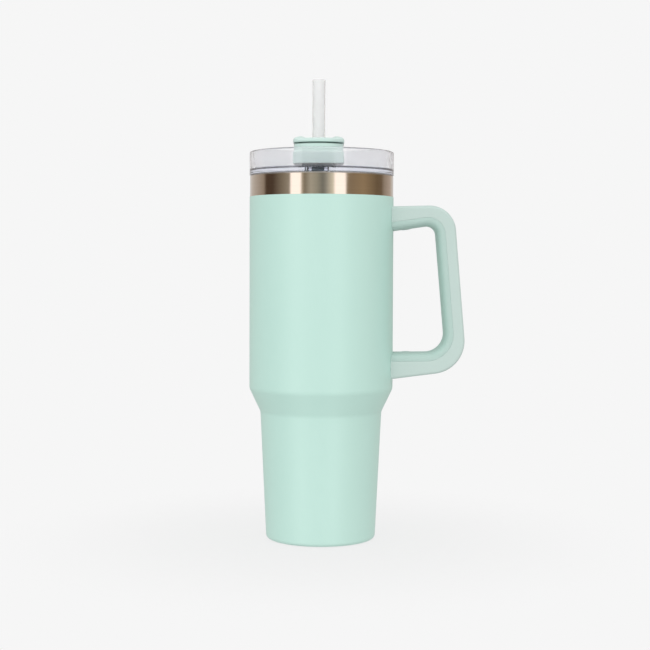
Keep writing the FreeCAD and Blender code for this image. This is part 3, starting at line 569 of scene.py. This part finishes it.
def slot_prism(name, cx, cy, wx, wy, corner, z0, z1):
    pts = fillet_poly([(cx - wx / 2, cy - wy / 2, corner), (cx + wx / 2, cy - wy / 2, corner),
                       (cx + wx / 2, cy + wy / 2, corner), (cx - wx / 2, cy + wy / 2, corner)], True, 9)
    n = len(pts)
    verts = [(x, y, z0) for x, y in pts] + [(x, y, z1) for x, y in pts]
    faces = [(i, (i + 1) % n, n + (i + 1) % n, n + i) for i in range(n)] + [tuple(range(n - 1, -1, -1)), tuple(range(n, 2 * n))]
    return make_object(name, verts, faces)


lid = lathe("lid_clear_tray", [
    (0, 253.5), (42.0, 253.5, 1.0), (42.0, 240.0, 0.8), (44.9, 240.0, 0.8), (44.9, 244.6, 0.15), (43.1, 244.6, 0.1),
    (43.1, 249.6, 0.1), (44.9, 249.6, 0.15), (44.9, 253.25, 0.3), (50.0, 253.25, 0.45), (50.0, 269.5, 1.1), (46.9, 269.5, 0.9),
    (46.3, 256.3, 1.5), (0, 256.3)], segs=256, closed=False)
hole = make_object("cut_pivot", *lathe_data([(0, 248), (8.8, 248), (8.8, 260), (0, 260)], 96, (PX, 0), closed=False))
vent = make_object("cut_vent", *lathe_data([(0, 248), (1.2, 248), (1.2, 260), (0, 260)], 32, (PX, 33.0), closed=False))
drink = slot_prism("cut_drink", PX, -33.0, 14.0, 8.0, 3.6, 248, 260)
cut_mesh(lid, [hole, vent, drink])
dress(lid, MAT_LID, "lid", "clear_plastic", "lid_body")

gasket = lathe("gasket_ring", [
    (43.14, 244.68, 0.2), (45.42, 244.68, 0.35), (45.42, 245.5, 0.35), (44.5, 246.4, 0.3), (44.5, 247.5, 0.3),
    (45.42, 248.2, 0.35), (45.42, 249.52, 0.35), (43.14, 249.52, 0.2)], segs=192)
dress(gasket, MAT_SILICONE, "lid", "seal_silicone", "lid_gasket")


# ------------------------------------------------------------------ turning cover
def outline(half, rad, corner, n_side=14, n_corner=8, n_arc=30):
    """Round of radius rad cut flat at x = +-half, corners rounded: matched points, counter-clockwise."""
    yc = math.sqrt((rad - corner) ** 2 - (half - corner) ** 2)
    al = math.atan2(yc, half - corner)
    q = [(half, -yc + 2 * yc * j / n_side) for j in range(n_side)]
    q += [(half - corner + corner * math.cos(al * j / n_corner), yc + corner * math.sin(al * j / n_corner)) for j in range(n_corner)]
    q += [(rad * math.cos(al + (math.pi / 2 - al) * j / n_arc), rad * math.sin(al + (math.pi / 2 - al) * j / n_arc)) for j in range(n_arc)]
    top = q[n_side:]
    # mirror the upper right quarter to the upper left, then the whole half to the bottom
    left = [(0.0, rad)] + [(-x, y) for x, y in top[:0:-1]] + [(-half, yc)]
    upper = top + left
    side_left = [(-half, yc - 2 * yc * j / n_side) for j in range(1, n_side)]
    lower = [(-x, -y) for x, y in upper]
    return [(half, -yc)][:0] + q[1:n_side] + upper + side_left + lower


def stack(levels, closed_top=True, closed_bottom=True, base=0):
    """levels: list of [(x, y, z)] rings with equal counts -> verts, faces."""
    verts, faces = [], []
    n = len(levels[0])
    for ring in levels:
        verts += ring
    for k in range(len(levels) - 1):
        for j in range(n):
            j2 = (j + 1) % n
            faces.append((base + k * n + j, base + k * n + j2, base + (k + 1) * n + j2, base + (k + 1) * n + j))
    if closed_bottom:
        faces.append(tuple(base + j for j in range(n - 1, -1, -1)))
    if closed_top:
        faces.append(tuple(base + (len(levels) - 1) * n + j for j in range(n)))
    return verts, faces


def stack_loop(levels, base=0):
    """Like stack, but the last ring runs back down to the first, so a bore goes right through."""
    verts, faces = stack(levels, False, False, base)
    n = len(levels[0])
    top = base + (len(levels) - 1) * n
    for j in range(n):
        j2 = (j + 1) % n
        faces.append((top + j, top + j2, base + j2, base + j))
    return verts, faces


def ring_at(half, rad, corner, z):
    return [(PX + x, y, z) for x, y in outline(half, rad, corner)]


def to_circle(ring, radius, z, t=1.0):
    """Moves a ring towards a circle about the pivot, point by point at its own angle."""
    out = []
    for x, y, zz in ring:
        a = math.atan2(y, x - PX)
        cx, cy = PX + radius * math.cos(a), radius * math.sin(a)
        out.append((x + (cx - x) * t, y + (cy - y) * t, z))
    return out


# bar: rounded top edge, slight draft, small foot chamfer
BH, BR, BC = 16.85, 42.5, 3.5
levels = [ring_at(BH - 0.35, BR - 0.35, BC - 0.3, 259.0), ring_at(BH, BR, BC, 259.35), ring_at(BH, BR, BC, 260.2),
          ring_at(BH - 0.10, BR - 0.15, BC, 265.5)]
for j in range(1, 9):
    a = math.radians(90 * j / 8)
    d = 1.5 * (1 - math.cos(a))
    levels.append(ring_at(BH - 0.10 - d, BR - 0.15 - d, BC - min(d, 2.0), 265.7 + 1.5 * math.sin(a)))
levels = [to_circle(levels[0], 5.2, 259.0)] + levels + [to_circle(levels[-1], 5.2, 267.2)]
v, f = stack_loop(levels)
# turret: flows out of the bar at its two round ends, flush at the flat sides
TH, TR, TC = 16.8, 22.2, 3.2
t_levels = [ring_at(TH, TR, TC, 262.0)]
for j in range(0, 9):
    a = math.radians(90 * j / 8)
    t_levels.append(ring_at(TH, TR + 1.8 * (1 - math.sin(a)), TC, 267.2 + 1.8 * (1 - math.cos(a))))
t_levels.append(ring_at(TH, TR, TC, 273.2))
for j in range(1, 7):
    a = math.radians(90 * j / 6)
    d = 0.9 * (1 - math.cos(a))
    t_levels.append(ring_at(TH - d, TR - d, TC - d * 0.8, 273.4 + 0.9 * math.sin(a)))
last = t_levels[-1]
t_levels.append(to_circle(last, 15.8, 274.3))
t_levels.append(to_circle(last, 15.4, 274.45))
t_levels.append(to_circle(last, 15.4, 275.16))
t_levels.append(to_circle(last, 13.05, 275.16))
t_levels += [to_circle(last, 7.05, 275.16), to_circle(last, 7.05, 271.5), to_circle(last, 5.2, 271.5)]
t_levels.insert(0, to_circle(t_levels[0], 5.2, 262.0))
v2, f2 = stack_loop(t_levels, base=len(v))
# hollow pivot below the bar
p_prof = fillet_poly([(5.2, 249.5, 0.2), (8.72, 249.5, 0.4), (8.72, 250.8, 0.1), (7.9, 250.8, 0.1), (7.9, 253.4, 0.1), (8.72, 253.4, 0.1),
                      (8.72, 259.3, 0), (5.2, 259.3, 0)])
v3, f3 = lathe_data(p_prof, 96, (PX, 0), base=len(v) + len(v2))
cover = make_object("cover_turret", v + v2 + v3, f + f2 + f3, sharp=34)
dress(cover, MAT_COVER, "cover", "cover_plastic", "cover_body")

# cap: saddle top with two finger ribs, rolled edge, recess for the grommet
CH, CR, CC = 17.55, 23.0, 3.2


def cap_height(x, y):
    ax = abs(x)
    if ax < 12.3:
        b = 0.5 - 0.5 * math.cos(math.pi * max(0.0, min(1.0, (ax - 6.9) / 5.4)))
    else:
        b = 1.0 - 0.75 * (0.5 - 0.5 * math.cos(math.pi * min(1.0, (ax - 12.3) / 5.6)))
    ay = abs(y)
    w = 1.0 if ay < 12.0 else max(0.0, 0.5 + 0.5 * math.cos(math.pi * min(1.0, (ay - 12.0) / 7.0)))
    return 278.0 + 1.58 * b * w + 0.12 * (1 - min(1.0, ay / 20.0))


c_levels = [ring_at(CH - 1.2, CR - 1.2, CC - 1.0, 275.2), ring_at(CH - 0.45, CR - 0.45, CC - 0.3, 275.2),
            ring_at(CH - 0.12, CR - 0.12, CC, 275.34), ring_at(CH, CR, CC, 275.65), ring_at(CH, CR, CC, 276.3)]
EDGE = 1.7
start = ring_at(CH, CR, CC, 0)
for j in range(1, 11):
    a = math.radians(90 * j / 10)
    d = EDGE * (1 - math.cos(a))
    ring = ring_at(CH - d, CR - d, CC - min(d, 2.2), 0)
    new = []
    for x, y, _ in ring:
        top = cap_height(x - PX, y)
        new.append((x, y, 276.3 + (top - 276.3) * math.sin(a)))
    c_levels.append(new)
inner = ring_at(CH - EDGE, CR - EDGE, CC - 2.2 + 0.2, 0)
for j in range(1, 27):
    t = j / 26
    ring = to_circle(inner, 8.9, 0, t)
    c_levels.append([(x, y, cap_height(x - PX, y)) for x, y, _ in ring])
for r_, z_ in ((8.75, 277.86), (8.6, 277.4), (7.02, 277.35), (7.02, 271.6)):
    c_levels.append(to_circle(inner, r_, z_))
c_levels.append(to_circle(inner, 12.9, 271.5))
c_levels.append(to_circle(inner, 13.0, 271.7))
c_levels.append(to_circle(inner, 13.0, 275.2))
v, f = stack(c_levels, closed_top=False, closed_bottom=False)
n_ring = len(c_levels[0])
lastk = (len(c_levels) - 1) * n_ring
for j in range(n_ring):
    j2 = (j + 1) % n_ring
    f.append((lastk + j, lastk + j2, j2, j))
cap = make_object("cover_cap_top", v, f, sharp=38)
dress(cap, MAT_COVER, "cover", "cover_plastic", "cover_cap")

grommet = lathe("straw_ring", [
    (4.58, 271.6, 0.2), (6.98, 271.6, 0.2), (6.98, 277.4, 0.05), (8.5, 277.4, 0.3), (8.4, 278.3, 0.45), (5.2, 278.65, 0.5), (4.58, 278.2, 0.3)],
    segs=96, centre=(PX, 0))
dress(grommet, MAT_SILICONE, "cover", "seal_silicone", "straw_grommet")

# ------------------------------------------------------------------ pad under the bar, over the drinking opening
def rounded(hx, hy, rad, cx, cy, z, n=8):
    out = []
    for k, (sx, sy) in enumerate(((1, 1), (-1, 1), (-1, -1), (1, -1))):
        for j in range(n + 1):
            a = math.radians(90 * k + 90 * j / n)
            out.append((cx + sx * (hx - rad) + rad * math.cos(a), cy + sy * (hy - rad) + rad * math.sin(a), z))
    return out


# painted shade: the pad's near-black teal stands in for the shadow under the bar, seen through the lid
v, f = stack([rounded(10.6, 5.7, 2.4, PX, -33.0, 256.36), rounded(10.9, 6.0, 2.7, PX, -33.0, 256.7),
              rounded(10.9, 6.0, 2.7, PX, -33.0, 259.02)])
pad = make_object("drink_pad", v, f, sharp=40)
dress(pad, MAT_PAD_PAINTED_SHADE, "cover", "seal_silicone", "drink_seal")

# ------------------------------------------------------------------ straw
tube = densify(fillet_poly([(4.5, 8.0), (4.5, 319.5, 0.38), (3.7, 319.5, 0.38), (3.7, 8.0)], closed=False, arc_step=15), 12.0)
v, f = lathe_data(tube, 72, (PX, 0), closed=True)
cutv = []
for x, y, z in v:
    t = (x - PX + 4.5) / 9.0
    lowest = 8.0 + 5.0 * max(0.0, t)
    cutv.append((x, y, max(z, lowest)))
straw = make_object("straw_tube", cutv, f, sharp=40)
dress(straw, MAT_STRAW, "straw", "straw_plastic", "straw")

# ------------------------------------------------------------------ CAD nodes that stay, with their finishes
# painted shade: the pivot seal gets the same near-black teal, standing in for the shadow under the bar
for node, material in (("copper_wrap", MAT_FOIL), ("outer_base", MAT_PRESSED), ("seal_bead", MAT_BEAD), ("getter", MAT_PRESSED),
                       ("upper_bracket", MAT_PRESSED), ("lower_bracket", MAT_PRESSED), ("handle_screws", MAT_SCREW),
                       ("cover_retainer", MAT_RING), ("pivot_seal", MAT_PAD_PAINTED_SHADE)):
    ob = NODES[node]
    ob.data.materials.clear()
    ob.data.materials.append(material)

# ------------------------------------------------------------------ floor, light, camera
def stage_floor():
    me = bpy.data.meshes.new("floor")
    n, rad = 96, 1.2
    verts = [(0, 0, -0.0002)] + [(rad * math.cos(2 * math.pi * k / n), rad * math.sin(2 * math.pi * k / n), -0.0002) for k in range(n)]
    me.from_pydata(verts, [], [(0, 1 + k, 1 + (k + 1) % n) for k in range(n)])
    ob = bpy.data.objects.new("floor", me)
    bpy.context.scene.collection.objects.link(ob)
    mat = bpy.data.materials.new("floor_pale")
    mat.use_nodes = True
    nt = mat.node_tree
    nt.nodes.clear()
    out = nt.nodes.new("ShaderNodeOutputMaterial")
    em = nt.nodes.new("ShaderNodeEmission")
    em.inputs["Color"].default_value = (0.80, 0.80, 0.80, 1)
    di = nt.nodes.new("ShaderNodeBsdfDiffuse")
    di.inputs["Color"].default_value = (0.80, 0.80, 0.80, 1)
    mix = nt.nodes.new("ShaderNodeMixShader")
    mix.inputs[0].default_value = 0.45
    nt.links.new(em.outputs[0], mix.inputs[1])
    nt.links.new(di.outputs[0], mix.inputs[2])
    # the pale disc fades out before its rim
    coord = nt.nodes.new("ShaderNodeTexCoord")
    length = nt.nodes.new("ShaderNodeVectorMath")
    length.operation = "LENGTH"
    nt.links.new(coord.outputs["Object"], length.inputs[0])
    fade = nt.nodes.new("ShaderNodeMapRange")
    fade.interpolation_type = "SMOOTHSTEP"
    fade.inputs["From Min"].default_value = 0.045
    fade.inputs["From Max"].default_value = 0.24
    fade.inputs["To Min"].default_value = 0.70
    fade.inputs["To Max"].default_value = 1.0
    nt.links.new(length.outputs["Value"], fade.inputs["Value"])
    clear = nt.nodes.new("ShaderNodeBsdfTransparent")
    last = nt.nodes.new("ShaderNodeMixShader")
    nt.links.new(fade.outputs["Result"], last.inputs[0])
    nt.links.new(mix.outputs[0], last.inputs[1])
    nt.links.new(clear.outputs[0], last.inputs[2])
    nt.links.new(last.outputs[0], out.inputs[0])
    me.materials.append(mat)
    return ob


stage_floor()


def fill_ramp(ramp, stops):
    el = ramp.color_ramp.elements
    while len(el) > 1:
        el.remove(el[-1])
    for i, (deg, c) in enumerate(stops):
        pos = (deg + 180) / 360
        if i == 0:
            e = el[0]
            e.position = pos
        else:
            e = el.new(pos)
        e.color = (c[0], c[1], c[2], 1)


def studio_world():
    world = bpy.data.worlds.new("studio")
    bpy.context.scene.world = world
    world.use_nodes = True
    nt = world.node_tree
    nt.nodes.clear()
    out = nt.nodes.new("ShaderNodeOutputWorld")
    coord = nt.nodes.new("ShaderNodeTexCoord")
    sep = nt.nodes.new("ShaderNodeSeparateXYZ")
    nt.links.new(coord.outputs["Generated"], sep.inputs[0])
    neg = nt.nodes.new("ShaderNodeMath"); neg.operation = "MULTIPLY"; neg.inputs[1].default_value = -1.0
    nt.links.new(sep.outputs["Y"], neg.inputs[0])
    at = nt.nodes.new("ShaderNodeMath"); at.operation = "ARCTAN2"
    nt.links.new(sep.outputs["X"], at.inputs[0])
    nt.links.new(neg.outputs[0], at.inputs[1])
    mr = nt.nodes.new("ShaderNodeMapRange")
    mr.inputs["From Min"].default_value = -math.pi
    mr.inputs["From Max"].default_value = math.pi
    nt.links.new(at.outputs[0], mr.inputs["Value"])
    ramp = nt.nodes.new("ShaderNodeValToRGB")
    nt.links.new(mr.outputs["Result"], ramp.inputs["Fac"])
    warm = (1.0, 0.915, 0.89)
    stops = [(-180, (0.50, 0.49, 0.485)), (-158, (0.48, 0.46, 0.45)), (-147, (0.42, 0.385, 0.36)), (-122, (0.31, 0.27, 0.24)), (-106, (0.235, 0.19, 0.155)),
             (-99, (0.055, 0.034, 0.022)), (-84, (0.052, 0.032, 0.021)), (-64, (0.165, 0.137, 0.105)),
             (-52, (0.235, 0.205, 0.165)), (-49.5, warm), (-34, warm), (-31, (0.36, 0.31, 0.25)), (-27, (0.165, 0.14, 0.105)),
             (-17, (0.31, 0.29, 0.245)), (-8, (0.25, 0.24, 0.20)), (2, (0.135, 0.135, 0.12)),
             (7, (0.22, 0.215, 0.19)), (12, (0.36, 0.34, 0.29)), (19, (0.55, 0.52, 0.44)), (21.5, warm), (37.5, warm),
             (41, (0.22, 0.175, 0.125)), (47, (0.185, 0.137, 0.09)), (70, (0.225, 0.162, 0.098)),
             (99, (0.115, 0.080, 0.047)), (111, (0.120, 0.085, 0.055)), (120, (0.235, 0.19, 0.155)), (142, (0.34, 0.285, 0.25)),
             (150, (0.41, 0.375, 0.35)), (160, (0.46, 0.44, 0.43))]
    fill_ramp(ramp, stops)
    # what glass bends towards the eye is a cooler, plainer copy of the room
    ramp2 = nt.nodes.new("ShaderNodeValToRGB")
    nt.links.new(mr.outputs["Result"], ramp2.inputs["Fac"])
    fill_ramp(ramp2, [(-180, (0.70, 0.70, 0.70)), (-98, (0.70, 0.70, 0.70)), (-84, (0.38, 0.40, 0.42)), (-53, (0.22, 0.25, 0.28)),
                      (-49.5, (0.80, 0.82, 0.85)), (-34, (0.80, 0.82, 0.85)), (-31, (0.20, 0.23, 0.26)), (-17, (0.10, 0.125, 0.14)),
                      (2, (0.05, 0.07, 0.08)), (17, (0.10, 0.125, 0.14)), (21.5, (0.80, 0.82, 0.85)), (37.5, (0.80, 0.82, 0.85)),
                      (41, (0.20, 0.23, 0.26)), (84, (0.38, 0.40, 0.42)), (98, (0.70, 0.70, 0.70))])
    # overhead is a pale ceiling
    up = nt.nodes.new("ShaderNodeMapRange")
    up.inputs["From Min"].default_value = 0.45
    up.inputs["From Max"].default_value = 0.75
    nt.links.new(sep.outputs["Z"], up.inputs["Value"])
    mixup = nt.nodes.new("ShaderNodeMix"); mixup.data_type = "RGBA"
    nt.links.new(up.outputs["Result"], mixup.inputs[0])
    lp = nt.nodes.new("ShaderNodeLightPath")
    bent = nt.nodes.new("ShaderNodeMix"); bent.data_type = "RGBA"
    nt.links.new(lp.outputs["Is Transmission Ray"], bent.inputs[0])
    nt.links.new(ramp.outputs["Color"], bent.inputs[6])
    nt.links.new(ramp2.outputs["Color"], bent.inputs[7])
    nt.links.new(bent.outputs[2], mixup.inputs[6])
    mixup.inputs[7].default_value = (0.62, 0.62, 0.62, 1)
    bg_gloss = nt.nodes.new("ShaderNodeBackground")
    nt.links.new(mixup.outputs[2], bg_gloss.inputs["Color"])
    bg_gloss.inputs["Strength"].default_value = 1.32
    bg_soft = nt.nodes.new("ShaderNodeBackground")
    bg_soft.inputs["Color"].default_value = (1.0, 1.0, 1.0, 1)
    level = nt.nodes.new("ShaderNodeMapRange")
    level.inputs["From Min"].default_value = -0.75
    level.inputs["From Max"].default_value = 0.25
    level.inputs["To Min"].default_value = WORLD_SOFT * WORLD_LOW
    level.inputs["To Max"].default_value = WORLD_SOFT
    nt.links.new(sep.outputs["Z"], level.inputs["Value"])
    total = level.outputs["Result"]
    for az, el, amp, power in SOFT_LOBES:
        a, e = math.radians(az), math.radians(el)
        dot = nt.nodes.new("ShaderNodeVectorMath")
        dot.operation = "DOT_PRODUCT"
        dot.inputs[1].default_value = (math.sin(a) * math.cos(e), -math.cos(a) * math.cos(e), math.sin(e))
        nt.links.new(coord.outputs["Generated"], dot.inputs[0])
        for op, val in (("MAXIMUM", 0.0), ("POWER", power), ("MULTIPLY", amp)):
            mth = nt.nodes.new("ShaderNodeMath")
            mth.operation = op
            mth.inputs[1].default_value = val
            nt.links.new(dot.outputs["Value"] if op == "MAXIMUM" else prev, mth.inputs[0])
            prev = mth.outputs[0]
        add = nt.nodes.new("ShaderNodeMath")
        add.operation = "ADD"
        nt.links.new(total, add.inputs[0])
        nt.links.new(prev, add.inputs[1])
        total = add.outputs[0]
    # a clear wall holds back part of the soft light from what stands behind it; this gives it back
    behind = nt.nodes.new("ShaderNodeMath")
    behind.operation = "GREATER_THAN"
    behind.inputs[1].default_value = 2.5
    nt.links.new(lp.outputs["Transmission Depth"], behind.inputs[0])
    gain = nt.nodes.new("ShaderNodeMapRange")
    gain.inputs["To Min"].default_value = 1.0
    gain.inputs["To Max"].default_value = WORLD_BEHIND
    nt.links.new(behind.outputs[0], gain.inputs["Value"])
    full = nt.nodes.new("ShaderNodeMath")
    full.operation = "MULTIPLY"
    nt.links.new(total, full.inputs[0])
    nt.links.new(gain.outputs["Result"], full.inputs[1])
    nt.links.new(full.outputs[0], bg_soft.inputs["Strength"])
    bg_cam = nt.nodes.new("ShaderNodeBackground")
    bg_cam.inputs["Color"].default_value = (0.922, 0.922, 0.922, 1)
    bg_cam.inputs["Strength"].default_value = 1.0
    m1 = nt.nodes.new("ShaderNodeMixShader")
    soft = nt.nodes.new("ShaderNodeMath")
    soft.operation = "GREATER_THAN"
    soft.inputs[1].default_value = 0.5
    nt.links.new(lp.outputs["Diffuse Depth"], soft.inputs[0])
    sharp = nt.nodes.new("ShaderNodeMath")
    sharp.operation = "SUBTRACT"
    sharp.use_clamp = True
    nt.links.new(lp.outputs["Is Glossy Ray"], sharp.inputs[0])
    nt.links.new(soft.outputs[0], sharp.inputs[1])
    nt.links.new(soft.outputs[0], m1.inputs[0])
    nt.links.new(bg_cam.outputs[0], m1.inputs[1])
    nt.links.new(bg_soft.outputs[0], m1.inputs[2])
    m2 = nt.nodes.new("ShaderNodeMixShader")
    nt.links.new(sharp.outputs[0], m2.inputs[0])
    nt.links.new(m1.outputs[0], m2.inputs[1])
    nt.links.new(bg_gloss.outputs[0], m2.inputs[2])
    nt.links.new(m2.outputs[0], out.inputs["Surface"])


WORLD_SOFT, WORLD_LOW, WORLD_BEHIND = 0.885, 0.70, 1.46
SOFT_LOBES = [(-12.0, 22.0, 1.10, 3.5), (0.0, 85.0, 0.20, 3.0), (112.0, 8.0, 0.30, 6.0)]
studio_world()


cam_data = bpy.data.cameras.new("camera")
cam_data.sensor_width = 36.0
cam_data.lens = 1400.8467 * 36.0 / 650.0
cam_data.clip_start, cam_data.clip_end = 0.05, 50.0
cam = bpy.data.objects.new("camera", cam_data)
bpy.context.scene.collection.objects.link(cam)
cam.matrix_world = (Matrix.Translation((0.0026715, -0.9778392, 0.1919405))
                    @ Matrix.Rotation(math.pi / 2 - 0.0434, 4, "X") @ Matrix.Rotation(0.0037, 4, "Z"))
bpy.context.scene.camera = cam
bpy.context.scene.view_settings.view_transform = "Standard"
bpy.context.scene.view_settings.look = "None"
bpy.context.scene.cycles.use_denoising = True if hasattr(bpy.context.scene, "cycles") else None
